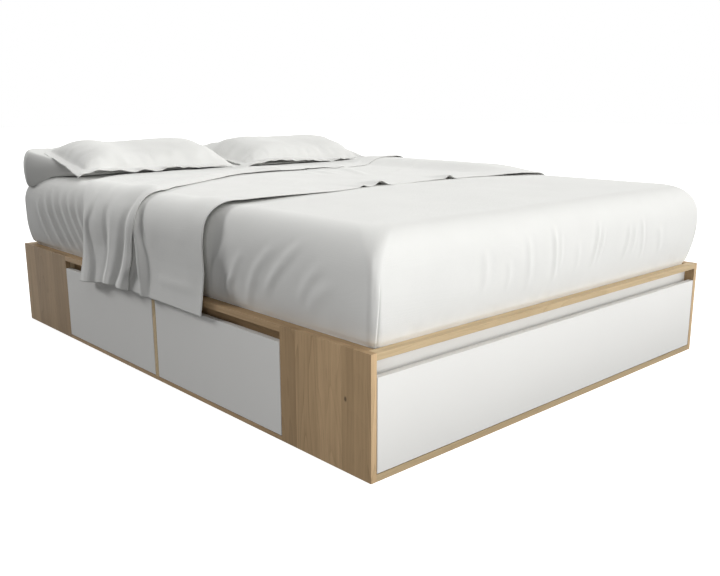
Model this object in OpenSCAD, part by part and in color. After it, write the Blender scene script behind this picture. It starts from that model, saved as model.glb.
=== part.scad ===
// Platform storage bed for a queen mattress: a low base of oak-faced boards with
// five drawers opened by finger gaps, a slatted deck, and the made-up bedding on it.
// X runs across the bed, Y from the foot (-) to the head (+), Z up.
// The origin lies on the floor under the middle of the base.

/* [Mattress] */
// Width of the mattress
mattress_w = 1524; // [1370:1:1930]
// Length of the mattress
mattress_l = 2032; // [1900:1:2130]
// Height of the mattress above the deck
mattress_h = 306; // [270:1:360]
// How far the sides bulge out past the mattress width
mattress_bulge = 28; // [10:1:30]
// Corner radius of the mattress in plan
mattress_corner_r = 45; // [40:1:90]
// How much higher the middle of the top is than its rounded edge
mattress_crown = 8; // [4:1:14]
// Clearance between the mattress and the rails around it
mattress_gap = 2; // [2:0.5:6]

/* [Base] */
// Height of the base, floor to the top of the rails
base_h = 320; // [300:1:400]
// Thickness of the boards
board_t = 18; // [16:1:22]
// Width of the top rail along each side
side_rail_w = 36; // [32:1:60]
// Width of the top rail across the foot and the head
end_rail_w = 28; // [26:1:60]
// Length of the oak panels next to the foot
foot_panel_l = 347; // [330:1:420]
// Length of the oak panels next to the head
head_panel_l = 403; // [350:1:460]
// Thickness of the base rail under the side drawers
side_base_t = 12; // [10:1:16]
// Thickness of the base rail under the foot drawer
foot_base_t = 18; // [12:1:22]
// Depth of the base rails, front to back
base_rail_d = 80; // [60:1:120]
// Space between the back of a side drawer box and the spine behind it
spine_gap = 24; // [15:1:40]

/* [Deck] */
// Width of a slat
slat_w = 70; // [50:1:90]
// Largest spacing of the slats, middle to middle
slat_pitch = 122; // [100:1:136]
// Thickness of a slat
slat_t = 18; // [15:1:22]
// Clearance at each end of a slat
slat_end_gap = 2; // [1:0.5:5]
// Bearing of a slat's end on its cleat
cleat_bearing = 22; // [18:1:40]
// Thickness of a cleat
cleat_t = 20; // [15:1:24]

/* [Finger gaps] */
// Height of the gap over the side drawer fronts
side_finger_gap = 28.5; // [22:0.5:36]
// Height of the gap over the foot drawer front
foot_finger_gap = 42; // [30:0.5:50]
// Distance from the outer face back to the apron behind a gap
apron_setback = 34; // [30:1:40]
// Height of the side aprons
side_apron_h = 66; // [50:1:70]
// Height of the foot apron
foot_apron_h = 62; // [50:1:64]

/* [Drawers] */
// Gap around a drawer front
front_reveal = 2.5; // [1.5:0.5:4]
// Depth of the side drawer boxes
side_box_d = 580; // [450:1:650]
// Depth of the foot drawer box
foot_box_d = 290; // [240:1:296]
// Thickness of the box walls
box_t = 12; // [9:1:16]
// Height of the box walls
box_h = 190; // [120:1:192]
// Clearance between a box and the base rail under it
box_lift = 12; // [8:1:14]
// Thickness of the bottom panels
bottom_t = 6; // [4:1:8]
// Height of a bottom panel above the lower edge of its box
bottom_lift = 8; // [6:1:12]
// Depth of the groove that holds a bottom panel
groove_d = 5; // [4:0.5:7]
// Clearance of a bottom panel in its grooves
groove_play = 0.2; // [0.1:0.1:0.5]

/* [Slides] */
// Space for a slide between a box and the board beside it
slide_space = 12.5; // [12:0.5:14]
// Height of a fixed runner
runner_h = 45; // [35:1:50]
// Height of the runners above the lower edge of the box
runner_lift = 76; // [40:1:90]
// Sheet thickness of runners and slides
runner_t = 1.5; // [1:0.1:2]
// Running clearance between a slide and its runner
runner_play = 0.3; // [0.3:0.1:0.6]
// How much shorter the runners are than the box beside them
runner_short = 20; // [12:1:60]

/* [Brackets] */
// Leg length and height of a corner bracket
bracket_leg = 40; // [30:1:50]
// Sheet thickness of a bracket
bracket_t = 2; // [1.5:0.5:3]
// Shank radius of a bracket screw
screw_r = 2; // [1.5:0.1:2.5]
// Length of a bracket screw in the board
screw_l = 14; // [10:1:15]
// Clearance of a screw in its bracket
screw_play = 0.3; // [0.2:0.1:0.6]

/* [Sheet and coverlet] */
// Thickness of the fitted sheet
sheet_t = 1.2; // [0.8:0.1:1.4]
// Clearance between soft pieces that lie on each other
soft_gap = 0.4; // [0.3:0.1:0.5]
// Thickness of one layer of the coverlet
cover_t = 3; // [2:0.5:5]
// Extra thickness where the coverlet is turned down
cuff_t = 9; // [4:1:14]
// Distance from the base's side to the hanging coverlet
cover_stand = 12; // [8:1:20]
// Height of the coverlet's hem above the floor
hem_z = 262; // [240:1:300]
// Length of the coverlet along the middle of the bed, as it lies
cover_mid_l = 750; // [650:1:850]
// Length of the coverlet along the sides of the bed, as it lies
cover_side_l = 945; // [860:1:1050]
// Space between the coverlet and the pillows
cover_gap = 40; // [30:1:90]
// How far the coverlet is turned down, along the middle of the bed
turn_down_mid = 105; // [80:1:160]
// How far the coverlet is turned down, along the sides of the bed
turn_down_side = 590; // [500:1:640]
// Depth of the folds in the hanging cuff
fold_depth = 14; // [6:1:18]

/* [Pillows] */
// Width of a pillow with its flanges
pillow_w = 724; // [640:1:740]
// Depth of a pillow, front to back, as it lies
pillow_d = 412; // [380:1:420]
// Loft of a pillow above its seam
pillow_loft = 80; // [50:1:100]
// Width of the flange round the pillow case
flange_w = 42; // [25:1:50]
// Thickness of the flange
flange_t = 4; // [3:0.5:6]
// Rise of a pillow from its front to its back edge
pillow_rise = 90; // [70:1:110]
// Distance from the middle of the bed to a pillow
pillow_inset = 18; // [12:1:40]
// Distance from a pillow to the head end of the base
pillow_head_gap = 34; // [10:1:60]
// How far the plain pillow's front lies behind the front of the one on it
under_setback = 50; // [30:1:80]
// Loft of the plain pillows underneath
under_loft = 100; // [80:1:120]

/* [Hidden] */

oak = [0.80, 0.69, 0.50];
white = [0.93, 0.93, 0.91];
birch = [0.87, 0.80, 0.66];
zinc = [0.70, 0.71, 0.73];
linen = [0.90, 0.90, 0.88];
ticking = [0.84, 0.84, 0.82];

// Outer half sizes of the base, and the inner faces of its end panels
half_w = mattress_w / 2 + mattress_gap + side_rail_w;
half_l = mattress_l / 2 + mattress_gap + end_rail_w;
inner_x = half_w - board_t;
inner_y = half_l - board_t;
rail_in_x = half_w - side_rail_w;
rail_in_y = half_l - end_rail_w;
deck_z = base_h - board_t;
slat_z = deck_z - slat_t;
spine_x = inner_x - side_box_d - spine_gap;

// The side bays: two drawers between the bulkheads, parted by a divider
bay_y0 = -half_l + foot_panel_l;
bay_y1 = half_l - head_panel_l;
bay_w = (bay_y1 - bay_y0 - board_t) / 2;
bay_mid = [bay_y0 + bay_w / 2, bay_y1 - bay_w / 2];
foot_bay_w = 2 * inner_x;

// Apron faces
apron_x = half_w - apron_setback;
apron_in_x = apron_x - board_t;
apron_y = half_l - apron_setback;
apron_in_y = apron_y - board_t;
slat_half = apron_in_x - slat_end_gap;
cleat_in_x = slat_half - cleat_bearing;
joist_h = foot_apron_h - slat_t;

// Drawer heights
side_front_z = [side_base_t + front_reveal, deck_z - side_finger_gap];
foot_front_z = [foot_base_t + front_reveal, deck_z - foot_finger_gap];
side_box_z = side_base_t + box_lift;
foot_box_z = foot_base_t + box_lift;

// The runners start this far behind a drawer front
runner_inset = 6;
// The slide stands this much proud of its runner towards the front
slide_lead = 4;
// A slide's flanges stop this far from the runner's web
slide_tip = 3;

// The brackets in the head bay stand this high
bracket_z = 130;
screw_head_r = 4;
screw_head_t = 2;
screw_from_edge = 12;

// ---------------------------------------------------------------- boards

// A rectangular board between two corners
module board(low, high) translate(low) cube(high - low);

module oak_board(low, high) color(oak) board(low, high);

module right_side() mirror([1, 0, 0]) children();

module left_foot_panel() oak_board([-half_w, -half_l, 0], [-inner_x, bay_y0, base_h]);
module left_head_panel() oak_board([-half_w, bay_y1, 0], [-inner_x, half_l, base_h]);
module right_foot_panel() right_side() left_foot_panel();
module right_head_panel() right_side() left_head_panel();
module head_panel() oak_board([-inner_x, inner_y, 0], [inner_x, half_l, deck_z]);

// The side rails are notched at both ends, where they pass behind the end panels
module left_top_rail() color(oak)
    translate([0, 0, deck_z]) linear_extrude(board_t) polygon([
        [-half_w, bay_y0], [-inner_x, bay_y0], [-inner_x, -rail_in_y],
        [-rail_in_x, -rail_in_y], [-rail_in_x, rail_in_y], [-inner_x, rail_in_y],
        [-inner_x, bay_y1], [-half_w, bay_y1]]);
module right_top_rail() right_side() left_top_rail();
module foot_top_rail()
    oak_board([-inner_x, -half_l, deck_z], [inner_x, -rail_in_y, base_h]);
module head_top_rail()
    oak_board([-inner_x, rail_in_y, deck_z], [inner_x, half_l, base_h]);

module left_base_rail()
    oak_board([-half_w, bay_y0, 0], [base_rail_d - half_w, bay_y1, side_base_t]);
module right_base_rail() right_side() left_base_rail();
module foot_base_rail()
    oak_board([-inner_x, -half_l, 0], [inner_x, base_rail_d - half_l, foot_base_t]);

module foot_bulkhead() color(birch)
    board([-inner_x, bay_y0 - board_t, 0], [inner_x, bay_y0, deck_z]);
module head_bulkhead() color(birch)
    board([-inner_x, bay_y1, 0], [inner_x, bay_y1 + board_t, deck_z]);

// The divider is full height at the finger gap, and lower behind it, under the slats
module left_divider() color(oak)
    translate([0, bay_mid[0] + bay_w / 2 + board_t, 0]) rotate([90, 0, 0])
        linear_extrude(board_t) polygon([
            [-half_w, side_base_t], [base_rail_d - half_w, side_base_t],
            [base_rail_d - half_w, 0], [-spine_x, 0],
            [-spine_x, slat_z], [-apron_in_x, slat_z],
            [-apron_in_x, deck_z], [-half_w, deck_z]]);
module right_divider() right_side() left_divider();

module left_spine() color(birch)
    board([-spine_x, bay_y0, 0], [board_t - spine_x, bay_y1, slat_z]);
module right_spine() right_side() left_spine();

module foot_apron() color(white)
    board([-inner_x, -apron_y, deck_z - foot_apron_h], [inner_x, -apron_in_y, deck_z]);
module left_aprons()
    for (mid = bay_mid)
        oak_board([-apron_x, mid - bay_w / 2, deck_z - side_apron_h],
                  [-apron_in_x, mid + bay_w / 2, deck_z]);
module right_aprons() right_side() left_aprons();

// ---------------------------------------------------------------- deck

// Short joists carry the slats over the end bays, in line with the spines
module joists(y0, y1)
    for (x = [-spine_x, spine_x - board_t])
        board([x, y0, slat_z - joist_h], [x + board_t, y1, slat_z]);
module foot_joists() color(birch) joists(-apron_in_y, bay_y0 - board_t);
module head_joists() color(birch) joists(bay_y1 + board_t, inner_y);

slat_bays = [[-apron_in_y, bay_y0 - board_t], [bay_y0, bay_y1],
             [bay_y1 + board_t, inner_y]];

module slat_cleats() color(birch)
    for (side = [0, 1]) mirror([side, 0, 0]) {
        for (bay = [slat_bays[0], slat_bays[2]])
            board([-inner_x, bay[0], slat_z - cleat_t], [-cleat_in_x, bay[1], slat_z]);
        for (mid = bay_mid)
            board([-apron_in_x, mid - bay_w / 2, slat_z - cleat_t],
                  [-cleat_in_x, mid + bay_w / 2, slat_z]);
    }

module slats() color(birch)
    for (bay = slat_bays) {
        length = bay[1] - bay[0];
        count = max(1, floor(length / slat_pitch));
        for (i = [0:count - 1]) {
            y = bay[0] + length * (i + 0.5) / count;
            board([-slat_half, y - slat_w / 2, slat_z], [slat_half, y + slat_w / 2, deck_z]);
        }
    }

// ---------------------------------------------------------------- brackets

// Puts its children, made for a corner at the origin that opens towards +X and +Y,
// in the four inner corners of the head bay, at mid height
module at_bracket_corners()
    for (side = [0, 1]) mirror([side, 0, 0]) {
        translate([-inner_x, bay_y1 + board_t, bracket_z]) children();
        translate([-inner_x, inner_y, bracket_z]) mirror([0, 1, 0]) children();
    }

module screw_hole_axes()
    for (h = [screw_from_edge, bracket_leg - screw_from_edge]) {
        translate([bracket_leg / 2 + bracket_t, 0, h]) rotate([-90, 0, 0]) children();
        translate([0, bracket_leg / 2 + bracket_t, h]) rotate([0, 90, 0]) children();
    }

module corner_brackets() color(zinc)
    at_bracket_corners()
        difference() {
            linear_extrude(bracket_leg) polygon([
                [0, 0], [bracket_leg, 0], [bracket_leg, bracket_t],
                [bracket_t, bracket_t], [bracket_t, bracket_leg], [0, bracket_leg]]);
            screw_hole_axes()
                translate([0, 0, -1])
                    cylinder(r = screw_r + screw_play, h = bracket_t + 2, $fn = 24);
        }

module bracket_screws() color(zinc)
    at_bracket_corners() screw_hole_axes() {
        translate([0, 0, -screw_l])
            cylinder(r = screw_r, h = screw_l + bracket_t + screw_head_t, $fn = 24);
        translate([0, 0, bracket_t]) cylinder(r = screw_head_r, h = screw_head_t, $fn = 32);
    }

// ---------------------------------------------------------------- drawers

// A drawer is made with its front's rear face at Y = 0 and its box towards +Y
module at_foot() translate([0, -inner_y, 0]) children();
module at_left(bay) translate([-inner_x, bay_mid[bay], 0]) rotate([0, 0, -90]) children();
module at_right(bay) right_side() at_left(bay) children();

module front(bay, z) color(white)
    board([front_reveal - bay / 2, -board_t, z[0]], [bay / 2 - front_reveal, 0, z[1]]);

module box(bay, depth, z) color(birch) {
    out = bay / 2 - slide_space;
    for (side = [0, 1]) mirror([side, 0, 0])
        difference() {
            board([-out, 0, z], [box_t - out, depth, z + box_h]);
            board([box_t - out - groove_d, -1, z + bottom_lift - groove_play / 2],
                  [box_t - out + 1, depth - box_t,
                   z + bottom_lift + bottom_t + groove_play / 2]);
        }
    board([box_t - out, depth - box_t, z], [out - box_t, depth, z + box_h]);
}

module bottom(bay, depth, z) color(white) {
    out = bay / 2 - slide_space - box_t + groove_d - groove_play;
    board([-out, 0, z + bottom_lift],
          [out, depth - box_t - groove_play, z + bottom_lift + bottom_t]);
}

// Sections of the two slide members: X away from the board, Y up
runner_section = [
    [0, 0], [slide_space - slide_tip, 0], [slide_space - slide_tip, runner_t],
    [runner_t, runner_t], [runner_t, runner_h - runner_t],
    [slide_space - slide_tip, runner_h - runner_t], [slide_space - slide_tip, runner_h],
    [0, runner_h]];
slide_low = runner_t + runner_play;
slide_high = runner_h - slide_low;
slide_section = [
    [slide_tip, slide_low], [slide_space, slide_low], [slide_space, slide_high],
    [slide_tip, slide_high], [slide_tip, slide_high - runner_t],
    [slide_space - runner_t, slide_high - runner_t],
    [slide_space - runner_t, slide_low + runner_t], [slide_tip, slide_low + runner_t]];

// A pair of members along both sides of a bay, from y to y + length
module member_pair(section, bay, y, length, z) color(zinc)
    for (side = [0, 1]) mirror([side, 0, 0])
        translate([-bay / 2, y + length, z + runner_lift]) rotate([90, 0, 0])
            linear_extrude(length) polygon(section);

module side_front() front(bay_w, side_front_z);
module side_box() box(bay_w, side_box_d, side_box_z);
module side_bottom() bottom(bay_w, side_box_d, side_box_z);
module side_runners()
    member_pair(runner_section, bay_w, runner_inset, side_box_d - runner_short, side_box_z);
module side_slides()
    member_pair(slide_section, bay_w, runner_inset - slide_lead,
                side_box_d - runner_short, side_box_z);

module foot_drawer_front() at_foot() front(foot_bay_w, foot_front_z);
module foot_drawer_box() at_foot() box(foot_bay_w, foot_box_d, foot_box_z);
module foot_drawer_bottom() at_foot() bottom(foot_bay_w, foot_box_d, foot_box_z);
module foot_runners() at_foot()
    member_pair(runner_section, foot_bay_w, runner_inset, foot_box_d - runner_short,
                foot_box_z);
module foot_drawer_slides() at_foot()
    member_pair(slide_section, foot_bay_w, runner_inset - slide_lead,
                foot_box_d - runner_short, foot_box_z);

module left_foot_drawer_front() at_left(0) side_front();
module left_foot_drawer_box() at_left(0) side_box();
module left_foot_drawer_bottom() at_left(0) side_bottom();
module left_foot_drawer_slides() at_left(0) side_slides();
module left_foot_runners() at_left(0) side_runners();
module left_head_drawer_front() at_left(1) side_front();
module left_head_drawer_box() at_left(1) side_box();
module left_head_drawer_bottom() at_left(1) side_bottom();
module left_head_drawer_slides() at_left(1) side_slides();
module left_head_runners() at_left(1) side_runners();
module right_foot_drawer_front() at_right(0) side_front();
module right_foot_drawer_box() at_right(0) side_box();
module right_foot_drawer_bottom() at_right(0) side_bottom();
module right_foot_drawer_slides() at_right(0) side_slides();
module right_foot_runners() at_right(0) side_runners();
module right_head_drawer_front() at_right(1) side_front();
module right_head_drawer_box() at_right(1) side_box();
module right_head_drawer_bottom() at_right(1) side_bottom();
module right_head_drawer_slides() at_right(1) side_slides();
module right_head_runners() at_right(1) side_runners();

// ---------------------------------------------------------------- mattress

// Shape of the rounded top edge: across, down, and how square it is
edge_across = 100;
edge_down = 130;
edge_power = 2.4;
top_z = deck_z + mattress_h;
// Inset from the mattress edge at which the rounding ends, and the crown ends
round_inset = edge_across - mattress_bulge;
flat_inset = 300;
round_z = top_z - mattress_crown - edge_down;
// The sides start to bulge just above the top rails
bulge_lift = board_t + 2;
side_steps = 4;
edge_steps = 4;

function edge_drop(share) = pow(1 - pow(share, edge_power), 1 / edge_power);

// Height of the mattress top at an inset from its edge
function mattress_top(inset) =
    inset >= flat_inset ? top_z
    : inset >= round_inset
        ? top_z - mattress_crown * pow((flat_inset - inset) / (flat_inset - round_inset), 2)
        : round_z + edge_down * edge_drop((round_inset - max(inset, 0)) / edge_across);

// Section of the mattress from its underside to its crown, as [inset, height]
mattress_section = concat(
    [[14, deck_z + soft_gap], [1, deck_z + soft_gap + 9]],
    [for (i = [0:side_steps])
        [-mattress_bulge * sin(90 * i / side_steps),
         deck_z + bulge_lift + (round_z - deck_z - bulge_lift) * i / side_steps]],
    [for (i = [1:edge_steps])
        let (a = 90 * i / edge_steps, c = pow(cos(a), 2 / edge_power))
        [round_inset - edge_across * c, round_z + edge_down * edge_drop(c)]],
    [for (inset = [(round_inset + flat_inset) / 2, flat_inset])
        [inset, mattress_top(inset)]]);

// The section moved outwards by a distance, along its own normals
function offset_section(s, distance) = [
    for (i = [0:len(s) - 1])
        let (a = s[max(i - 1, 0)], b = s[min(i + 1, len(s) - 1)], step = norm(b - a))
        s[i] + distance * [a[1] - b[1], b[0] - a[0]] / step];

corner_steps = 5;
long_steps = 7;
short_steps = 5;
least_corner_r = 40;

function corner(centre, r, start) = [
    for (i = [0:corner_steps])
        let (a = start + 90 * i / corner_steps) centre + r * [cos(a), sin(a)]];
function between(a, b, steps) = [for (i = [1:steps - 1]) a + (b - a) * i / steps];

// A rounded rectangle at a height, inset from the mattress edge, anticlockwise
function mattress_ring(inset, z) =
    let (x = mattress_w / 2 - inset, y = mattress_l / 2 - inset,
         r = max(mattress_corner_r - inset, least_corner_r), cx = x - r, cy = y - r)
    [for (p = concat(
        between([x, -cy], [x, cy], long_steps), corner([cx, cy], r, 0),
        between([cx, y], [-cx, y], short_steps), corner([-cx, cy], r, 90),
        between([-x, cy], [-x, -cy], long_steps), corner([-cx, -cy], r, 180),
        between([-cx, -y], [cx, -y], short_steps), corner([cx, -cy], r, 270)))
        [p[0], p[1], z]];

function rings_of(section) = [for (p = section) mattress_ring(p[0], p[1])];
function flat(lists) = [for (one = lists) each one];

// Triangles between stacked rings of n points, the first point being number first
function wall_faces(rings, n, first) = [
    for (k = [0:rings - 2], i = [0:n - 1])
        let (j = (i + 1) % n, a = first + k * n, b = a + n)
        each [[a + i, b + i, b + j], [a + i, b + j, a + j]]];
function fan_up(n, first, centre) = [
    for (i = [0:n - 1]) [first + (i + 1) % n, first + i, centre]];
function fan_down(n, first, centre) = [
    for (i = [0:n - 1]) [first + i, first + (i + 1) % n, centre]];
function flipped(faces) = [for (f = faces) [f[0], f[2], f[1]]];

module mattress() color(ticking) {
    rings = rings_of(mattress_section);
    n = len(rings[0]);
    count = n * len(rings);
    polyhedron(
        points = concat(flat(rings), [[0, 0, mattress_section[0][1]], [0, 0, top_z]]),
        faces = concat(wall_faces(len(rings), n, 0), fan_down(n, 0, count),
                       fan_up(n, count - n, count + 1)));
}

// The fitted sheet is a skin over the mattress, open below, down into the recess
sheet_section = [for (i = [1:len(mattress_section) - 1]) mattress_section[i]];
sheet_top = sheet_t + soft_gap;

module fitted_sheet() color(linen) {
    outer = rings_of(offset_section(sheet_section, sheet_top));
    inner = rings_of(offset_section(sheet_section, soft_gap));
    n = len(outer[0]);
    layers = len(outer);
    count = n * layers;
    centre_out = 2 * count;
    centre_in = centre_out + 1;
    polyhedron(
        points = concat(flat(outer), flat(inner),
                        [[0, 0, top_z + sheet_top], [0, 0, top_z + soft_gap]]),
        faces = concat(
            wall_faces(layers, n, 0), fan_up(n, count - n, centre_out),
            flipped(wall_faces(layers, n, count)),
            flipped(fan_up(n, 2 * count - n, centre_in)),
            [for (i = [0:n - 1]) let (j = (i + 1) % n)
                each [[i, j, count + j], [i, count + j, count + i]]]));
}

// ---------------------------------------------------------------- draped sheets

// Closed solid between an upper and a lower grid of points, rows along X
function grid_faces(rows, cols) =
    let (low = rows * cols)
    concat(
        [for (i = [0:rows - 2], j = [0:cols - 2])
            let (a = i * cols + j, b = a + cols)
            each [[a, a + 1, b + 1], [a, b + 1, b],
                  [low + a, low + b + 1, low + a + 1], [low + a, low + b, low + b + 1]]],
        [for (i = [0:rows - 2])
            let (a = i * cols, b = a + cols, c = a + cols - 1, d = b + cols - 1)
            each [[low + a, a, b], [low + a, b, low + b],
                  [low + d, d, c], [low + d, c, low + c]]],
        [for (j = [0:cols - 2])
            let (a = j, b = a + 1, c = (rows - 1) * cols + j, d = c + 1)
            each [[low + b, b, a], [low + b, a, low + a],
                  [low + c, c, d], [low + c, d, low + d]]]);

module draped(upper, lower)
    polyhedron(points = concat(flat(upper), flat(lower)),
               faces = grid_faces(len(upper), len(upper[0])));

// ---------------------------------------------------------------- coverlet

cover_x = half_w + cover_stand;
cover_in_x = mattress_w / 2 - round_inset;
cover_rise = sheet_top + soft_gap;
cover_in_z = mattress_top(round_inset) + cover_rise;
// The coverlet hangs straight from this far below the top
turn_drop = 106;
turn_z = cover_in_z - turn_drop;
pillow_y0 = half_l - pillow_head_gap - pillow_d;
cover_head = pillow_y0 - cover_gap;
hang_steps = 5;
turn_steps = 4;
// How the edges shift along Y between the top, the turn and the hem
foot_hem_shift = 42;
ridge_hem_shift = 220;
head_side_drop = 30;
head_turn_drop = 130;
head_hem_shift = 90;
// The cuff's free edge rises over this width
ridge_w = 6;
smooth_steps = 4;
fold_steps = 16;
folds = 4;
// Share of the fold depth left where the cloth starts to hang
fold_top_share = 0.35;

// Stations across the left half: [x, z, outward normal x, z, hang share, turn share]
left_stations = concat(
    [for (i = [0:hang_steps - 1])
        let (s = 1 - i / hang_steps)
        [-cover_x, turn_z + (hem_z - turn_z) * s, -1, 0, s, 1]],
    [for (i = [0:turn_steps - 1])
        let (a = 90 * i / turn_steps, t = 1 - i / turn_steps)
        [-cover_in_x - (cover_x - cover_in_x) * pow(cos(a), 2 / edge_power),
         turn_z + (cover_in_z - turn_z) * pow(sin(a), 2 / edge_power),
         -cos(a), sin(a), 0, t]],
    [for (inset = [round_inset, (round_inset + flat_inset) / 2, flat_inset,
                   (flat_inset + mattress_w / 2) / 2])
        [inset - mattress_w / 2, mattress_top(inset) + cover_rise, 0, 1, 0, 0]]);
stations = concat(
    left_stations, [[0, top_z + cover_rise, 0, 1, 0, 0]],
    [for (i = [len(left_stations) - 1:-1:0])
        let (s = left_stations[i]) [-s[0], s[1], -s[2], s[3], s[4], s[5]]]);

function foot_edge(s) =
    cover_head - cover_mid_l - (cover_side_l - cover_mid_l) * pow(s[0] / cover_x, 2)
    + foot_hem_shift * s[4];
function ridge(s) =
    cover_head - turn_down_side
    + (turn_down_side - turn_down_mid) * cos(90 * abs(s[0]) / cover_x)
    + ridge_hem_shift * s[4];
function head_edge(s) =
    cover_head - head_side_drop * min(1, pow(s[0] / cover_in_x, 2))
    - head_turn_drop * s[5] + head_hem_shift * s[4];

// Points along Y at a station: [y, thickness, fold shift]
function cover_row(s) =
    let (y0 = foot_edge(s), y1 = ridge(s), y2 = head_edge(s),
         depth = fold_depth * s[5] * (fold_top_share + (1 - fold_top_share) * s[4]))
    concat(
        [for (i = [0:smooth_steps])
            [y0 + (y1 - ridge_w - y0) * i / smooth_steps, cover_t, 0]],
        [for (i = [0:fold_steps])
            [y1 + (y2 - y1) * i / fold_steps, cover_t + cuff_t,
             depth * (1 - cos(360 * folds * i / fold_steps)) / 2]]);

module coverlet() color(linen)
    draped(
        [for (s = stations) [for (p = cover_row(s))
            [s[0] + s[2] * (p[1] + p[2]), p[0], s[1] + s[3] * (p[1] + p[2])]]],
        [for (s = stations) [for (p = cover_row(s))
            [s[0] + s[2] * p[2], p[0], s[1] + s[3] * p[2]]]]);

// ---------------------------------------------------------------- pillows

// Height of the sheeted bed under a pillow, with room for the rounded edges
edge_room = 6;
function seat_z(x, y) =
    let (inset = min(mattress_w / 2 - abs(x), mattress_l / 2 - abs(y)))
    mattress_top(inset) + sheet_top + soft_gap
    + edge_room * max(0, 1 - max(inset, 0) / (2 * round_inset));

pillow_front_z = top_z + sheet_top + soft_gap + flange_t / 2;
// The pillow's underside bellies this far below its flange
pillow_belly = 6;
// Grid counts of the pillows
pillow_cols = 14;
pillow_rows = 10;
under_cols = 12;
under_rows = 9;
// How far the sides of a pillow draw in between its corners
draw_in = 12;
// The plain pillow reaches past the one on it, and lies under its back
under_out = 42;
under_in = 40;
under_back = 22;
seam_t = 3;

function seam_plane(y) = pillow_front_z + pillow_rise * (y - pillow_y0) / pillow_d;
function swell(u, power, fullness) =
    abs(u) >= 1 ? 0 : pow(1 - pow(abs(u), power), fullness);

// A position from -1 to 1 along a pillow with a flange of the given share
function flanged(i, steps, share) =
    i == 0 ? -1 : i == steps + 2 ? 1 : (2 * (i - 1) / steps - 1) * (1 - share);

module pillow_shape() {
    share_x = 2 * flange_w / pillow_w;
    share_y = 2 * flange_w / pillow_d;
    plan = [
        for (i = [0:pillow_cols + 2]) [
            for (j = [0:pillow_rows + 2])
                let (u = flanged(i, pillow_cols, share_x), v = flanged(j, pillow_rows, share_y),
                     x = -pillow_inset - pillow_w / 2
                         + u * (pillow_w / 2 - draw_in * (1 - v * v)),
                     y = pillow_y0 + pillow_d / 2 + v * (pillow_d / 2 - draw_in * (1 - u * u)))
                [x, y, swell(u / (1 - share_x), 2.6, 0.6) * swell(v / (1 - share_y), 2.2, 0.7)]]];
    draped(
        [for (row = plan) [for (p = row)
            [p[0], p[1], seam_plane(p[1]) + flange_t / 2 + pillow_loft * p[2]]]],
        [for (row = plan) [for (p = row)
            [p[0], p[1], seam_plane(p[1]) - flange_t / 2 - pillow_belly * p[2]]]]);
}

module under_pillow_shape() {
    x0 = -pillow_inset - pillow_w - under_out;
    x1 = -pillow_inset - under_in;
    y0 = pillow_y0 + under_setback;
    y1 = half_l - under_back;
    plan = [
        for (i = [0:under_cols]) [
            for (j = [0:under_rows])
                let (u = 2 * i / under_cols - 1, v = 2 * j / under_rows - 1,
                     x = (x0 + x1) / 2 + u * ((x1 - x0) / 2 - draw_in * (1 - v * v)),
                     y = (y0 + y1) / 2 + v * ((y1 - y0) / 2 - draw_in * (1 - u * u)),
                     z = seat_z(x, y), room = seam_plane(y) - flange_t / 2 - pillow_belly)
                [x, y, z, min(z + seam_t + under_loft * swell(u, 4, 0.5) * swell(v, 4, 0.5),
                              max(room - soft_gap, z + seam_t))]]];
    draped([for (row = plan) [for (p = row) [p[0], p[1], p[3]]]],
           [for (row = plan) [for (p = row) [p[0], p[1], p[2]]]]);
}

module left_pillow() color(linen) pillow_shape();
module right_pillow() right_side() left_pillow();
module left_under_pillow() color(linen) under_pillow_shape();
module right_under_pillow() right_side() left_under_pillow();

// ---------------------------------------------------------------- nodes

left_foot_panel();
left_head_panel();
right_foot_panel();
right_head_panel();
head_panel();
left_top_rail();
right_top_rail();
foot_top_rail();
head_top_rail();
left_base_rail();
right_base_rail();
foot_base_rail();
foot_bulkhead();
head_bulkhead();
left_divider();
right_divider();
left_spine();
right_spine();
foot_apron();
left_aprons();
right_aprons();
foot_joists();
head_joists();
slat_cleats();
slats();
corner_brackets();
bracket_screws();
foot_runners();
left_foot_runners();
left_head_runners();
right_foot_runners();
right_head_runners();
foot_drawer_front();
foot_drawer_box();
foot_drawer_bottom();
foot_drawer_slides();
left_foot_drawer_front();
left_foot_drawer_box();
left_foot_drawer_bottom();
left_foot_drawer_slides();
left_head_drawer_front();
left_head_drawer_box();
left_head_drawer_bottom();
left_head_drawer_slides();
right_foot_drawer_front();
right_foot_drawer_box();
right_foot_drawer_bottom();
right_foot_drawer_slides();
right_head_drawer_front();
right_head_drawer_box();
right_head_drawer_bottom();
right_head_drawer_slides();
mattress();
fitted_sheet();
coverlet();
left_pillow();
right_pillow();
left_under_pillow();
right_under_pillow();
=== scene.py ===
"""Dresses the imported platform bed: bedding, board and metal materials, studio light and camera."""

import math

import bpy
import numpy as np
from mathutils import Matrix, Vector


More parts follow.
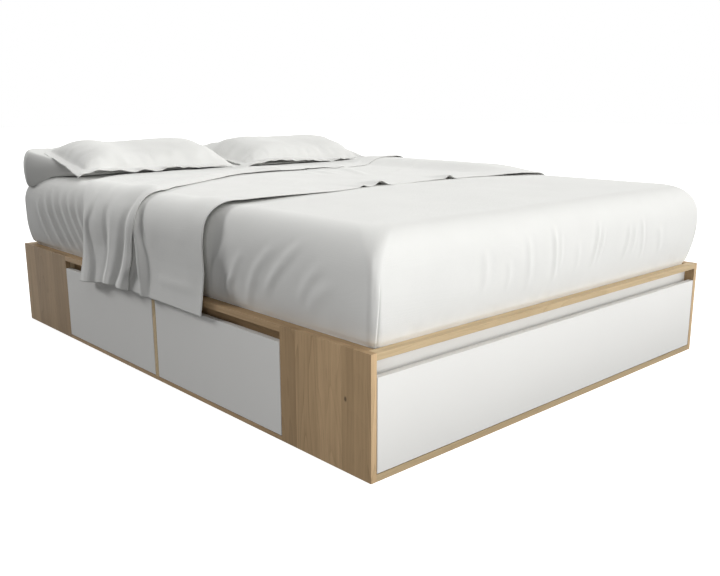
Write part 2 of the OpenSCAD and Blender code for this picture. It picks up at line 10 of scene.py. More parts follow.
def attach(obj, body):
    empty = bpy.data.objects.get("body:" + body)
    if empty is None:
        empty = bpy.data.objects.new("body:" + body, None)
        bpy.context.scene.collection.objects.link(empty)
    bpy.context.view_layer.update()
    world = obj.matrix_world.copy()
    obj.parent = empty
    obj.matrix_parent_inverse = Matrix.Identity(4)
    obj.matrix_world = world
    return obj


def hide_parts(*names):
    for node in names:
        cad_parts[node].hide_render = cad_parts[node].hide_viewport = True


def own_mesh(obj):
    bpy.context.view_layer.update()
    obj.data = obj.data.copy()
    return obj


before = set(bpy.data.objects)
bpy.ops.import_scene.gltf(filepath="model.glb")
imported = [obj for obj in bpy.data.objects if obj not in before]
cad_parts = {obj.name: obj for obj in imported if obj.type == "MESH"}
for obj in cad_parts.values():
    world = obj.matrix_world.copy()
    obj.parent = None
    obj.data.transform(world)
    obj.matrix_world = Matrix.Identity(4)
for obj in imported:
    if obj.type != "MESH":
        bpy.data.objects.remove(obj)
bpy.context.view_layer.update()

# Sizes from the CAD part, in millimetres: the deck's height, half the mattress's width and length
# and the height of its top, which it shares with the sheet
DECK_Z, MAT_X, MAT_Y, TOP_Z = 302.0, 762.0, 1016.0, 608.0
# The mattress's section: bulge of the side, width and height of the rounded edge, the power of
# its curve, and the crown of the top with the distance that it takes to rise
BULGE, ROUND, DOWN, POWER, CROWN, FLAT = 28.0, 60.0, 118.0, 2.4, 8.0, 300.0
ROUND_Z = TOP_Z - CROWN - DOWN
CORNER_R, TOP_CORNER_R = 24.0, 62.0
MM = 0.001


# ------------------------------------------------------------------ helpers

def smooth(x, a, b):
    """0 below a, 1 above b, smooth between."""
    t = np.clip((np.asarray(x, float) - a) / (b - a), 0, 1)
    return t * t * (3 - 2 * t)


def curve_through(knots, values):
    """A smooth function through the points, for any x."""
    knots, values = np.asarray(knots, float), np.asarray(values, float)
    slopes = np.gradient(values, knots)

    def f(x):
        x = np.clip(np.asarray(x, float), knots[0], knots[-1])
        i = np.clip(np.searchsorted(knots, x) - 1, 0, len(knots) - 2)
        h = knots[i + 1] - knots[i]
        t = (x - knots[i]) / h
        t2, t3 = t * t, t * t * t
        return ((2 * t3 - 3 * t2 + 1) * values[i] + (t3 - 2 * t2 + t) * h * slopes[i]
                + (3 * t2 - 2 * t3) * values[i + 1] + (t3 - t2) * h * slopes[i + 1])
    return f


def noise(x, y, scale, seed):
    """Smooth value noise between -1 and 1 on a plane; scale is its feature size."""
    def value(ix, iy):
        n = (ix * 374761393 + iy * 668265263 + seed * 2147483647) & 0xFFFFFFFF
        n = ((n ^ (n >> 13)) * 1274126177) & 0xFFFFFFFF
        return ((n ^ (n >> 16)) & 0xFFFF) / 32767.5 - 1
    x, y = np.asarray(x, float) / scale, np.asarray(y, float) / scale
    ix, iy = np.floor(x).astype(np.int64), np.floor(y).astype(np.int64)
    fx, fy = x - ix, y - iy
    fx, fy = fx * fx * (3 - 2 * fx), fy * fy * (3 - 2 * fy)
    a = value(ix, iy) * (1 - fx) + value(ix + 1, iy) * fx
    b = value(ix, iy + 1) * (1 - fx) + value(ix + 1, iy + 1) * fx
    return a * (1 - fy) + b * fy


def make_mesh(name, points, faces, material):
    """A smooth-shaded object from points in millimetres."""
    mesh = bpy.data.meshes.new(name)
    mesh.from_pydata((np.asarray(points, float) * MM).tolist(), [], [list(f) for f in faces])
    mesh.update()
    mesh.polygons.foreach_set("use_smooth", [True] * len(mesh.polygons))
    obj = bpy.data.objects.new(name, mesh)
    bpy.context.collection.objects.link(obj)
    obj.data.materials.append(material)
    return obj


def grid_faces(rows, cols, start=0, wrap=False, flip=False):
    """Quads of a grid of points; wrap joins the last column to the first."""
    i = np.arange(rows - 1)[:, None]
    j = np.arange(cols if wrap else cols - 1)[None, :]
    a = start + i * cols + j
    b = start + i * cols + (j + 1) % cols
    quads = np.stack([a, b, b + cols, a + cols], -1).reshape(-1, 4)
    return quads[:, ::-1] if flip else quads


def grid_normals(grid, wrap=False):
    """Unit normals of a grid of points, rows then columns."""
    du = np.gradient(grid, axis=0)
    if wrap:
        dv = (np.roll(grid, -1, axis=1) - np.roll(grid, 1, axis=1)) / 2
    else:
        dv = np.gradient(grid, axis=1)
    n = np.cross(dv, du)
    return n / np.maximum(np.linalg.norm(n, axis=-1, keepdims=True), 1e-9)


def closed_mesh(name, top, low, material, flip=False):
    """A closed shell from two grids of points with the same layout."""
    rows, cols = top.shape[:2]
    count = rows * cols
    edge = np.concatenate([
        np.arange(cols - 1), np.arange(rows - 1) * cols + cols - 1,
        (rows - 1) * cols + np.arange(cols - 1, 0, -1), np.arange(rows - 1, 0, -1) * cols])
    nxt = np.roll(edge, -1)
    faces = np.concatenate([grid_faces(rows, cols), grid_faces(rows, cols, count, flip=True),
                            np.stack([edge, edge + count, nxt + count, nxt], -1)])
    points = np.concatenate([top.reshape(-1, 3), low.reshape(-1, 3)])
    return make_mesh(name, points, faces[:, ::-1] if flip else faces, material)


def sheet_mesh(name, grid, thickness, material):
    """A closed cloth of even thickness over a grid of points, normals outwards."""
    n = grid_normals(grid)
    return closed_mesh(name, grid + n * thickness / 2, grid - n * thickness / 2, material)


# ------------------------------------------------------------------ materials

class Graph:
    """A node tree, with a short call for each kind of node that is used here."""

    def __init__(self, owner, output):
        owner.use_nodes = True
        self.owner, self.tree = owner, owner.node_tree
        self.tree.nodes.clear()
        self.surface = self.node(output).inputs["Surface"]

    def put(self, socket, value):
        """Links another node's output to a socket, or sets the socket's own value."""
        if isinstance(value, bpy.types.NodeSocket):
            self.tree.links.new(value, socket)
        elif value is not None:
            socket.default_value = (*value, 1) if socket.type == "RGBA" else value

    def fill(self, node, **inputs):
        for name, value in inputs.items():
            self.put(node.inputs[name.replace("_", " ")], value)

    def node(self, kind, **inputs):
        made = self.tree.nodes.new("ShaderNode" + kind)
        self.fill(made, **inputs)
        return made

    def chain(self, kind, *values):
        """The first output of a node whose inputs are filled in their order."""
        made = self.node(kind)
        for socket, value in zip(made.inputs, values):
            self.put(socket, value)
        return made.outputs[0]

    def math(self, operation, a, b=None):
        made = self.node("Math")
        made.operation = operation
        self.put(made.inputs[0], a)
        self.put(made.inputs[1], b)
        return made.outputs[0]

    def times(self, a, b):
        return self.math("MULTIPLY", a, b)

    def plus(self, a, b):
        return self.math("ADD", a, b)

    def coords(self, scale=(1, 1, 1), offset=(0, 0, 0)):
        """Object coordinates, so that a pattern stays on its piece when the piece moves."""
        place = self.node("TexCoord").outputs["Object"]
        return self.node("Mapping", Vector=place, Scale=scale, Location=offset).outputs["Vector"]

    def noise(self, scale, detail=4, rough=0.5, distortion=0.0, vector=None):
        vector = self.coords() if vector is None else vector
        return self.node("TexNoise", Vector=vector, Scale=scale, Detail=detail, Roughness=rough,
                         Distortion=distortion).outputs["Fac"]

    def ramp(self, fac, *stops):
        """A colour ramp; a stop is a position and a colour or a level of grey."""
        made = self.node("ValToRGB", Fac=fac)
        elements = made.color_ramp.elements
        while len(elements) < len(stops):
            elements.new(0.5)
        for element, (position, colour) in zip(elements, stops):
            element.position = position
            element.color = (*(colour if isinstance(colour, tuple) else (colour,) * 3), 1)
        return made.outputs["Color"]

    def mix(self, mode, fac, a, b):
        made = self.node("Mix")
        made.data_type, made.blend_type = "RGBA", mode
        # Sockets 6, 7 and 2 are the ones for colours
        for key, value in (("Factor", fac), (6, a), (7, b)):
            self.put(made.inputs[key], value)
        return made.outputs[2]

    def bump(self, height, distance, strength=1.0, normal=None):
        return self.node("Bump", Height=height, Distance=distance, Strength=strength,
                         Normal=normal).outputs["Normal"]

    def eased_edge(self, radius):
        """A normal that rounds the sharp edges of boards."""
        bevel = self.node("Bevel", Radius=radius)
        bevel.samples = 4
        return bevel.outputs["Normal"]

    def seen_directly(self):
        """1 for camera, glossy and transmission rays, 0 for the rest."""
        path = self.node("LightPath").outputs
        seen = self.math("MAXIMUM", path["Is Camera Ray"], path["Is Glossy Ray"])
        return self.math("MAXIMUM", seen, path["Is Transmission Ray"])


def new_material(name):
    """A material's graph and its shader, which is joined to the output."""
    g = Graph(bpy.data.materials.new(name), "OutputMaterial")
    shader = g.node("BsdfPrincipled")
    g.put(g.surface, shader.outputs["BSDF"])
    return g, shader


def shade(colour, share):
    return tuple(share * v for v in colour)


def wood(name, axis, light, dark, seed, strip=0.09, edge=1.0, knots=()):
    """Veneer with grain along axis 0, 1 or 2: joined strips, cathedral figure and pores.

    edge lightens the faces that look along Y; knots are (across, along) in metres.
    """
    g, shader = new_material(name)
    place = g.node("SeparateXYZ", Vector=g.node("TexCoord").outputs["Object"]).outputs
    across, along = g.plus(*(place[i] for i in range(3) if i != axis)), place[axis]
    # Each strip of veneer has its own tone and its own cut through the log
    cell = g.math("FLOOR", g.plus(g.math("DIVIDE", across, strip), 0.37 + seed))
    dice = []
    for shift in (0.0, 11.7):
        white = g.node("TexWhiteNoise")
        white.noise_dimensions = "1D"
        g.fill(white, W=g.plus(cell, shift + seed * 3.1))
        dice.append(white.outputs["Value"])
    log = g.chain("CombineXYZ", g.plus(g.times(across, 9.0), g.times(dice[0], 23.0)),
                  g.times(along, 1.3), g.times(dice[1], 9.0))
    rings = g.math("FRACT", g.times(g.noise(0.9, 2, 0.45, 0.35, vector=log), 17.0))
    band = g.ramp(rings, (0.0, 0.1), (0.5, 0.25), (0.86, 0.6), (0.95, 1.0), (1.0, 0.1))

    def drawn_out(side_scale, along_scale, detail, rough):
        """Noise that is long along the grain and narrow across it."""
        scale = [side_scale] * 3
        scale[axis] = along_scale
        return g.noise(1.0, detail, rough, vector=g.coords(scale))

    streak = drawn_out(150.0, 2.4, 5, 0.65)
    drift = drawn_out(38.0, 1.1, 3, 0.5)
    pores = g.ramp(drawn_out(520.0, 11.0, 2, 0.5), (0.58, 0), (0.70, 1))
    figure = g.plus(g.times(dice[1], 0.7), 0.1)
    grain = g.mix("MIX", figure, g.ramp(drift, (0.25, 0), (0.78, 1)), band)
    grain = g.mix("MIX", 0.35, grain, g.ramp(streak, (0.3, 0), (0.72, 1)))
    middle = tuple(0.55 * a + 0.45 * b for a, b in zip(light, dark))
    colour = g.ramp(grain, (0.08, light), (0.5, middle), (0.95, dark))
    tone = g.ramp(dice[0], (0.0, (0.80, 0.78, 0.75)), (1.0, (1.14, 1.14, 1.15)))
    colour = g.mix("MULTIPLY", 1.0, colour, tone)
    colour = g.mix("MIX", g.times(pores, 0.28), colour, shade(dark, 0.5))
    for at_across, at_along in knots:
        a = g.times(g.math("SUBTRACT", across, at_across), 150.0)
        b = g.times(g.math("SUBTRACT", along, at_along), 105.0)
        far = g.math("SQRT", g.plus(g.times(a, a), g.times(b, b)))
        spot = g.ramp(far, (0.0, 1), (0.45, 0.9), (0.75, 0.25), (1.0, 0))
        colour = g.mix("MIX", spot, colour, shade(dark, 0.38))
    if edge != 1.0:
        facing = g.node("SeparateXYZ", Vector=g.node("NewGeometry").outputs["True Normal"])
        ends = g.math("GREATER_THAN", g.math("ABSOLUTE", facing.outputs[1]), 0.7)
        lighter = g.mix("MULTIPLY", 1.0, colour, (edge, edge * 1.04, edge * 1.08))
        colour = g.mix("MIX", ends, colour, lighter)
    height = g.mix("SUBTRACT", 0.8, streak, pores)
    g.fill(shader, Base_Color=colour, Roughness=g.ramp(streak, (0.2, 0.58), (0.8, 0.46)),
           Specular_IOR_Level=0.15, Normal=g.bump(height, 0.00018, 0.6, g.eased_edge(0.0012)))
    return g.owner


def lacquer(name, colour, rough, seed):
    """White laminate: faint orange peel, small variation in tone and gloss."""
    g, shader = new_material(name)
    broad = g.noise(1.0, 3, vector=g.coords((3, 3, 3), (seed, 0, 0)))
    peel = g.noise(260.0, 3, 0.55)
    g.fill(shader, Base_Color=g.ramp(broad, (0.3, shade(colour, 0.98)), (0.7, colour)),
           Roughness=g.ramp(broad, (0.2, rough - 0.05), (0.8, rough + 0.05)),
           Specular_IOR_Level=0.12, Normal=g.bump(peel, 0.00005, 0.5, g.eased_edge(0.0008)))
    return g.owner


def steel(name):
    """Zinc-plated sheet: fine rolling lines and a mottled bloom."""
    g, shader = new_material(name)
    bloom = g.noise(38.0, 4, 0.6)
    lines = g.noise(1.0, 2, 0.5, vector=g.coords((900, 900, 24)))
    g.fill(shader, Base_Color=g.ramp(bloom, (0.3, (0.50, 0.52, 0.55)), (0.7, (0.66, 0.67, 0.69))),
           Metallic=1.0, Roughness=g.ramp(bloom, (0.3, 0.30), (0.7, 0.46)),
           Normal=g.bump(lines, 0.00004, 0.5))
    return g.owner


def cotton(name, colour, weave=0.00055, crease=0.0):
    """Woven cotton: crossed thread waves in all three planes, slubs and soft mottling."""
    g, shader = new_material(name)
    waves = []
    for direction in ("X", "Y", "Z"):
        wave = g.node("TexWave", Vector=g.coords(), Scale=1 / weave / 3.1416 / 2, Distortion=1.2,
                      Detail=1.0, Detail_Scale=0.7)
        wave.wave_type, wave.bands_direction, wave.wave_profile = "BANDS", direction, "SIN"
        waves.append(wave.outputs["Fac"])
    cross = g.mix("ADD", 1.0, g.mix("ADD", 1.0, waves[0], waves[1]), waves[2])
    slub = g.noise(420.0, 3, 0.6)
    mottle = g.noise(7.0, 4, 0.55)
    tone = g.ramp(mottle, (0.25, shade(colour, 0.965)), (0.75, colour))
    tone = g.mix("MULTIPLY", 0.10, tone, g.ramp(slub, (0.3, 0.86), (0.7, 1.0)))
    normal = g.bump(g.mix("MIX", 0.35, cross, slub), 0.00012, 0.7)
    if crease:
        normal = g.bump(g.noise(26.0, 3, 0.5, 1.1), crease, 0.5, normal)
    g.fill(shader, Base_Color=tone, Roughness=g.ramp(mottle, (0.2, 0.80), (0.8, 0.92)),
           Specular_IOR_Level=0.08, Sheen_Weight=0.08, Sheen_Roughness=0.55, Normal=normal)
    return g.owner


SIDE_LIGHT, SIDE_DARK = (0.54, 0.375, 0.215), (0.30, 0.20, 0.105)
END_LIGHT, END_DARK = (0.67, 0.525, 0.33), (0.47, 0.35, 0.20)
BIRCH_LIGHT, BIRCH_DARK = (0.70, 0.58, 0.40), (0.58, 0.45, 0.28)
MATS = {
    "oak_x": wood("oak_grain_x", 0, END_LIGHT, END_DARK, 1.0, strip=0.3),
    "oak_y": wood("oak_grain_y", 1, SIDE_LIGHT, SIDE_DARK, 2.0, strip=0.3),
    "oak_z": wood("oak_grain_z", 2, SIDE_LIGHT, SIDE_DARK, 3.0, edge=1.32,
                  knots=((-1.756, 0.189),)),
    # The head panels' oak is darker: partly veneer variation, partly painted shade where the light
    # falls off towards the head end
    "oak_head_part_painted_shade": wood("oak_grain_head_part_painted_shade", 2, shade(SIDE_LIGHT, 0.78), shade(SIDE_DARK, 0.76), 3.0,
                     edge=1.32),
    "birch_x": wood("birch_grain_x", 0, BIRCH_LIGHT, BIRCH_DARK, 5.0, strip=0.4),
    "birch_y": wood("birch_grain_y", 1, BIRCH_LIGHT, BIRCH_DARK, 6.0, strip=0.4),
    "white": lacquer("white_laminate", (0.84, 0.835, 0.815), 0.5, 1.0),
    "white_inner": lacquer("white_bottom", (0.78, 0.78, 0.76), 0.5, 4.0),
    "steel": steel("zinc_plated_steel"),
    "cotton": cotton("white_percale", (0.82, 0.82, 0.80)),
    "cover": cotton("white_coverlet", (0.83, 0.83, 0.81), 0.0007, crease=0.0006),
    "case": cotton("white_pillow_case", (0.83, 0.83, 0.81), 0.0005, crease=0.0009),
    "ticking": cotton("mattress_ticking", (0.74, 0.73, 0.70), 0.0011),
}


def board_material(node):
    """The material of a node of the base, by the way its grain runs where it is of wood."""
    # The head panels take the darker oak, which is partly painted shade
    if node in ("left_head_panel", "right_head_panel"):
        return "oak_head_part_painted_shade"
    if node in ("left_foot_panel", "right_foot_panel"):
        return "oak_z"
    if node in ("foot_top_rail", "head_top_rail", "foot_base_rail", "head_panel",
                "left_divider", "right_divider"):
        return "oak_x"
    if node.endswith(("_top_rail", "_base_rail")) or node in ("left_aprons", "right_aprons"):
        return "oak_y"
    if node.endswith("_front") or node == "foot_apron":
        return "white"
    if node.endswith("_bottom"):
        return "white_inner"
    if node.endswith(("_runners", "_slides", "_brackets", "_screws")):
        return "steel"
    return "birch_x" if node in ("slats", "foot_bulkhead", "head_bulkhead") else "birch_y"


for node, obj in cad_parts.items():
    obj.data.materials.clear()
    obj.data.materials.append(MATS[board_material(node)])


# ------------------------------------------------------------------ sheet and mattress

SHEET_T = 1.1  # thickness of the fitted sheet


def edge_drop(share):
    """Height of the rounded edge's curve at a share of its width, both from 0 to 1."""
    return np.power(np.maximum(1 - np.power(np.clip(share, 0, 1), POWER), 0), 1 / POWER)


def bed_top(x, y):
    """Height of the bare mattress top over a point, down to the widest line of its side."""
    inset = np.minimum(MAT_X - np.abs(x), MAT_Y - np.abs(y))
    crown = TOP_Z - CROWN * np.square(np.clip((FLAT - inset) / (FLAT - ROUND), 0, 1))
    edge = ROUND_Z + DOWN * edge_drop((ROUND - np.clip(inset, -BULGE, ROUND)) / (BULGE + ROUND))
    return np.where(inset >= ROUND, crown, edge)


def mattress_profile():
    """Inset, height and corner radius along the section, from the recess to the middle."""
    z = np.linspace(DECK_Z + 20, ROUND_Z, 30)
    t = (z - z[0]) / (z[-1] - z[0])
    side = np.stack([-BULGE * np.sin(t * math.pi / 2), z], -1)
    a = np.linspace(0, math.pi / 2, 27)[1:]
    c = np.power(np.maximum(np.cos(a), 0), 2 / POWER)
    edge = np.stack([ROUND - (BULGE + ROUND) * c, ROUND_Z + DOWN * edge_drop(c)], -1)
    inset = np.concatenate([np.linspace(ROUND, 200, 12)[1:], np.linspace(200, 752, 30)[1:]])
    crown = np.stack([inset, TOP_Z - CROWN * np.square(
        np.clip((FLAT - inset) / (FLAT - ROUND), 0, 1))], -1)
    low = np.array([[3.0, DECK_Z + 8.0], [1.0, DECK_Z + 14.0]])
    radius = np.concatenate([np.full(len(low) + len(side), CORNER_R), CORNER_R + (
        TOP_CORNER_R - CORNER_R) * np.square(np.sin(a)), np.full(len(crown), TOP_CORNER_R)])
    return np.column_stack([np.concatenate([low, side, edge, crown]), radius])


# Points along a long side, a short side and a corner of the sheet's outline
COUNTS = (300, 250, 30)


def outline(inset, r, counts=COUNTS):
    """A rounded rectangle's points, anticlockwise from the foot end of its right side."""
    x, y = MAT_X - inset, MAT_Y - inset
    r = min(r, x - 1)
    cx, cy = x - r, y - r
    n_long, n_short, n_corner = counts
    pts = []
    for (x0, y0), (x1, y1), (ox, oy), start, n in (
            ((x, -cy), (x, cy), (cx, cy), 0, n_long),
            ((cx, y), (-cx, y), (-cx, cy), 90, n_short),
            ((-x, cy), (-x, -cy), (-cx, -cy), 180, n_long),
            ((-cx, -y), (cx, -y), (cx, -cy), 270, n_short)):
        t = np.arange(n) / n
        pts.append(np.stack([x0 + (x1 - x0) * t, y0 + (y1 - y0) * t], -1))
        a = np.radians(start + 90 * np.arange(n_corner) / n_corner)
        pts.append(np.stack([ox + r * np.cos(a), oy + r * np.sin(a)], -1))
    return np.concatenate(pts)


def ridge(along, z, a, b, width, height, skew=0.0):
    """A soft raised line from a to b on a face, tapered at both ends."""
    a, b = np.asarray(a, float), np.asarray(b, float)
    d = b - a
    length = np.linalg.norm(d)
    u, v = d / length, np.array([-d[1], d[0]]) / length
    px, pz = along - a[0], z - a[1]
    t = (px * u[0] + pz * u[1]) / length
    w = (px * v[0] + pz * v[1]) / width - skew * np.sin(t * math.pi)
    taper = smooth(t, -0.15, 0.25) * (1 - smooth(t, 0.7, 1.15))
    return height * taper * (np.exp(-w * w) - 0.45 * np.exp(-np.square((w - 1.6) / 1.2))
                             - 0.35 * np.exp(-np.square((w + 1.7) / 1.3)))


LEFT_RIDGES = [  # ends as (y, z), then width and height
    ((820, 535), (690, 345), 17, 6.0), ((752, 550), (600, 345), 18, 7.0),
    ((672, 540), (542, 350), 18, 5.5), ((605, 550), (480, 360), 18, 6.5),
    ((890, 500), (790, 350), 17, 4.5), ((530, 530), (440, 380), 17, 4.5),
    ((-532, 490), (-462, 400), 13, 1.6), ((-668, 520), (-540, 395), 13, 2.2),
    ((-775, 540), (-618, 392), 13, 2.8), ((-868, 500), (-762, 392), 15, 2.2),
    ((-900, 455), (-790, 372), 18, 1.8), ((-440, 500), (-345, 350), 17, 4.0),
    ((-470, 420), (-425, 345), 13, 3.0), ((-590, 430), (-520, 340), 15, 1.6)]
FOOT_RIDGES = [  # ends as (x, z), then width and height
    ((-90, 530), (-82, 395), 9, 4.2), ((-60, 510), (-60, 420), 8, 2.0),
    ((140, 525), (112, 405), 9, 4.4), ((166, 505), (140, 415), 8, 3.4),
    ((318, 500), (288, 405), 9, 3.8), ((352, 490), (338, 420), 8, 2.6),
    ((392, 515), (404, 395), 8, 3.0), ((-400, 505), (-398, 410), 12, 2.2),
    ((-214, 520), (-204, 385), 11, 2.6), ((-300, 470), (-296, 400), 10, 1.6),
    ((30, 480), (26, 400), 10, 1.8), ((500, 480), (520, 400), 13, 2.0)]
HEAD_RIDGES = [((x, 520 - 6 * k), (x + 14, 400), 11, 3.0)
               for k, x in enumerate((-420, -250, -60, 120, 330, 540))]
RIGHT_RIDGES = [((y + 60, 530), (y - 30, 380 + 5 * (k % 3)), 15, 4.2)
                for k, y in enumerate((-900, -760, -600, -470, 640, 720, 800, 880))]


def sheeted_bed():
    """The fitted sheet's outer face as a grid of points that wraps round, and its normals."""
    profile = mattress_profile()
    grid = np.empty((len(profile), len(outline(0, CORNER_R)), 3))
    for k, (inset, z, radius) in enumerate(profile):
        grid[k, :, :2] = outline(inset, radius)
        grid[k, :, 2] = z
    n = -grid_normals(grid, wrap=True)
    flip = np.sign((n[..., 0] * grid[..., 0] + n[..., 1] * grid[..., 1] + n[..., 2] * 400).sum())
    n = n * flip
    x, y, z = grid[..., 0], grid[..., 1], grid[..., 2]
    side_x = smooth(np.abs(n[..., 0]), 0.5, 0.85)
    side_y = smooth(np.abs(n[..., 1]), 0.5, 0.85)
    up = smooth(n[..., 2], 0.6, 0.95)
    d = np.full(x.shape, 1.0)
    for lines, along, mask in ((LEFT_RIDGES, y, side_x * (x < 0)),
                               (RIGHT_RIDGES, y, side_x * (x > 0)),
                               (FOOT_RIDGES, x, side_y * (y < 0)),
                               (HEAD_RIDGES, x, side_y * (y > 0))):
        for a, b, w, h in lines:
            d += mask * ridge(along, z, a, b, w, h, 0.5)
    # The side fills out soon above the recess, soonest at the left head corner
    rise = np.clip((z - DECK_Z - 20) / (ROUND_Z - DECK_Z - 20), 0, 1)
    at_head = 0.7 * smooth(y, 600, 1000) * (x < 0)
    full = np.sin(np.power(rise, 0.75 - 0.40 * at_head) * math.pi / 2)
    d += (BULGE + 2 * at_head) * (full - np.sin(rise * math.pi / 2)) * (z < ROUND_Z)
    # Small puckers where the sheet goes down into the recess, and soft swells above
    low = 1 - smooth(z, 330, 392)
    d += low * (side_x * 1.3 * noise(y, z, 34, 3) + side_y * 1.2 * noise(x, z, 34, 5))
    belly = smooth(z, 350, 430) * (1 - smooth(z, 520, 590))
    d += belly * (side_x * 1.8 * noise(y, z * 1.6, 150, 11)
                  + side_y * 1.6 * noise(x, z * 1.6, 160, 12))
    d += up * (1.1 * noise(x, y, 190, 21) + 0.5 * noise(x + y, x - y, 80, 22)) * smooth(
        MAT_X - np.abs(x), 10, 120)
    # The corner darts: a pressed seam down each corner with a lip beside it
    cx, cy = MAT_X + BULGE * 0.7 - 16, MAT_Y + BULGE * 0.7 - 16
    for sx in (-1, 1):
        for sy in (-1, 1):
            at = (sx * x - cx) - (sy * y - cy)
            here = (sx * x > MAT_X - 80) * (sy * y > MAT_Y - 80)
            fade = smooth(z, 318, 330) * (1 - smooth(z, 440, 486))
            # The side's cloth ends in a lip, and the end's cloth is tucked in under it
            seam = at + 6 + 13 * smooth(z, 330, 470)
            d += here * fade * (2.2 * smooth(seam, -1.0, 1.6) * np.exp(
                -np.maximum(seam, 0) / 20) - 2.6 * np.exp(-np.square((seam + 1.5) / 2.2)))
    keep = smooth(z, 306, 322)
    d = 0.6 + (d - 0.6) * keep
    limit = np.where(z < 350, 1.4 + 1.1 * np.clip(z - 327, 0, 100), 26.0)
    return grid + n * np.minimum(d, limit)[..., None], n


def cap(first, cols):
    """Closes the narrow last ring: its two long sides are joined straight across."""
    n_long, n_short, n_corner = COUNTS
    n_end = n_corner + n_short + n_corner
    half = n_long + n_end
    out = []
    for k in range(n_long):
        a, c = first + k, first + half + n_long - k - 1
        out.append([a, a + 1, c, c + 1])
    for start in (n_long, half + n_long):
        out.append([first + (start + k) % cols for k in range(n_end + 1)])
    return out


def fitted_sheet():
    """The sheet as two faces, joined by a rim down in the recess and each closed by a cap."""
    outer, normals = sheeted_bed()
    inner = outer - normals * SHEET_T
    rows, cols = outer.shape[:2]
    count, last = rows * cols, (rows - 1) * cols
    ring = np.arange(cols)
    nxt = (ring + 1) % cols
    faces = grid_faces(rows, cols, wrap=True).tolist()
    faces += grid_faces(rows, cols, count, wrap=True, flip=True).tolist()
    faces += np.stack([nxt, ring, ring + count, nxt + count], -1).tolist()
    faces += cap(last, cols) + [face[::-1] for face in cap(count + last, cols)]
    points = np.concatenate([outer.reshape(-1, 3), inner.reshape(-1, 3)])
    return make_mesh("fitted_sheet_cloth", points, faces, MATS["cotton"])


sheet = fitted_sheet()
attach(sheet, "base")
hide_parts("fitted_sheet")


def mattress_core():
    """The mattress under its sheet, in ticking, with a corded lower edge."""
    # Inset and height: the underside, the cord and the groove over it
    profile = [(60.0, 1.2), (16.0, 0.8), (10.0, 1.6), (4.0, 4.0), (2.6, 7.0), (4.0, 10.0),
               (4.5, 16.0)]
    profile = [(inset, DECK_Z + z) for inset, z in profile]
    foot_z = DECK_Z + 22
    profile += [(4.5 - BULGE * math.sin(v * math.pi / 2) + 2.0 * v, foot_z + (ROUND_Z - foot_z) * v)
                for v in np.linspace(0, 1, 12)[1:]]
    a = np.linspace(0, math.pi / 2, 12)[1:]
    profile += [(ROUND + 4 - (BULGE + ROUND) * v, ROUND_Z + (DOWN - 5) * float(edge_drop(v)))
                for v in np.power(np.maximum(np.cos(a), 0), 2 / POWER)]
    profile += [(inset, TOP_Z - CROWN - 5 + 8 * (inset - ROUND) / 228)
                for inset in (120, 180, 240, 300)]
    counts = (70, 52, 8)
    rings = [np.column_stack([ring, np.full(len(ring), z)]) for ring, z in (
        (outline(inset, CORNER_R + (30 if inset > 20 else 6), counts), z) for inset, z in profile)]
    rows, cols = len(rings), len(rings[0])
    faces = grid_faces(rows, cols, wrap=True).tolist()
    faces += [list(range(cols))[::-1], list(range((rows - 1) * cols, rows * cols))]
    return make_mesh("mattress_core", np.concatenate(rings), faces, MATS["ticking"])


core = mattress_core()
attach(core, "base")
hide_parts("mattress")


# ------------------------------------------------------------------ coverlet

COVER_Z = 2.4      # the cloth's height over the bare mattress's top
COVER_T = 1.7      # its thickness
TWO_LAYERS = 3.4   # the least distance between the middles of its two layers
# Heights: where the hang's section starts, where it turns in, and where the top begins
HEM, TURN_Z, SHOULDER = 250, 490, 600
HANG_TOP = 520     # height below which the cloth hangs free
# The turn over the mattress's edge: where it meets the top, its width and the power of its curve
TURN_X, TURN_W, TURN_POWER = 716, 102, 2.3
N_TOP = 59         # points of the section on the top


def cover_section():
    """The left half of the draped coverlet's section, from hem to middle: points, arc lengths."""
    hang = np.array([[-822.0, HEM], [-819.5, 290], [-816.5, 330], [-815, 370], [-815, 410],
                     [-817, 455], [-TURN_X - TURN_W, TURN_Z]])
    a = np.linspace(0, math.pi / 2, 26)[1:]
    c, s = (np.power(np.maximum(f(a), 0), 2 / TURN_POWER) for f in (np.cos, np.sin))
    in_z = float(bed_top(-TURN_X, 0)) + COVER_Z + 1.0
    turn = np.stack([-TURN_X - TURN_W * c, TURN_Z + (in_z - TURN_Z) * s], -1)
    x = np.linspace(-TURN_X, 0, N_TOP + 1)[1:]
    top = np.stack([x, bed_top(x, 0 * x) + COVER_Z], -1)
    pts = np.concatenate([hang, turn, top])
    arc = np.concatenate([[0], np.cumsum(np.linalg.norm(np.diff(pts, axis=0), axis=1))])
    return pts, arc


SEC, ARC = cover_section()
ARC_MID = ARC[-1]


def section_at(s):
    """Point and outward normal of the section at an arc length from the left hem."""
    left = s <= ARC_MID
    q = np.where(left, s, 2 * ARC_MID - s)
    x, z = np.interp(q, ARC, SEC[:, 0]), np.interp(q, ARC, SEC[:, 1])
    e = 6.0  # the slope is taken over this far to each side
    dx = np.interp(q + e, ARC, SEC[:, 0]) - np.interp(q - e, ARC, SEC[:, 0])
    dz = np.interp(q + e, ARC, SEC[:, 1]) - np.interp(q - e, ARC, SEC[:, 1])
    dx = np.where(q > ARC_MID - e, 1.0, dx)
    dz = np.where(q > ARC_MID - e, 0.0, dz)
    length = np.hypot(dx, dz)
    nx, nz = -dz / length, dx / length
    return np.where(left, x, -x), z, np.where(left, nx, -nx), nz


def left_arc(z):
    """Arc length from the left hem at a height on the left hang or turn."""
    return np.interp(z, SEC[:-N_TOP, 1], ARC[:-N_TOP])


def top_arc(x):
    """Arc length from the left hem at a place across the top."""
    return ARC_MID + x if x > 0 else np.interp(x, SEC[:, 0], ARC)


def right_arc(z):
    """Arc length from the left hem at a height on the right hang."""
    return 2 * ARC_MID - left_arc(z)


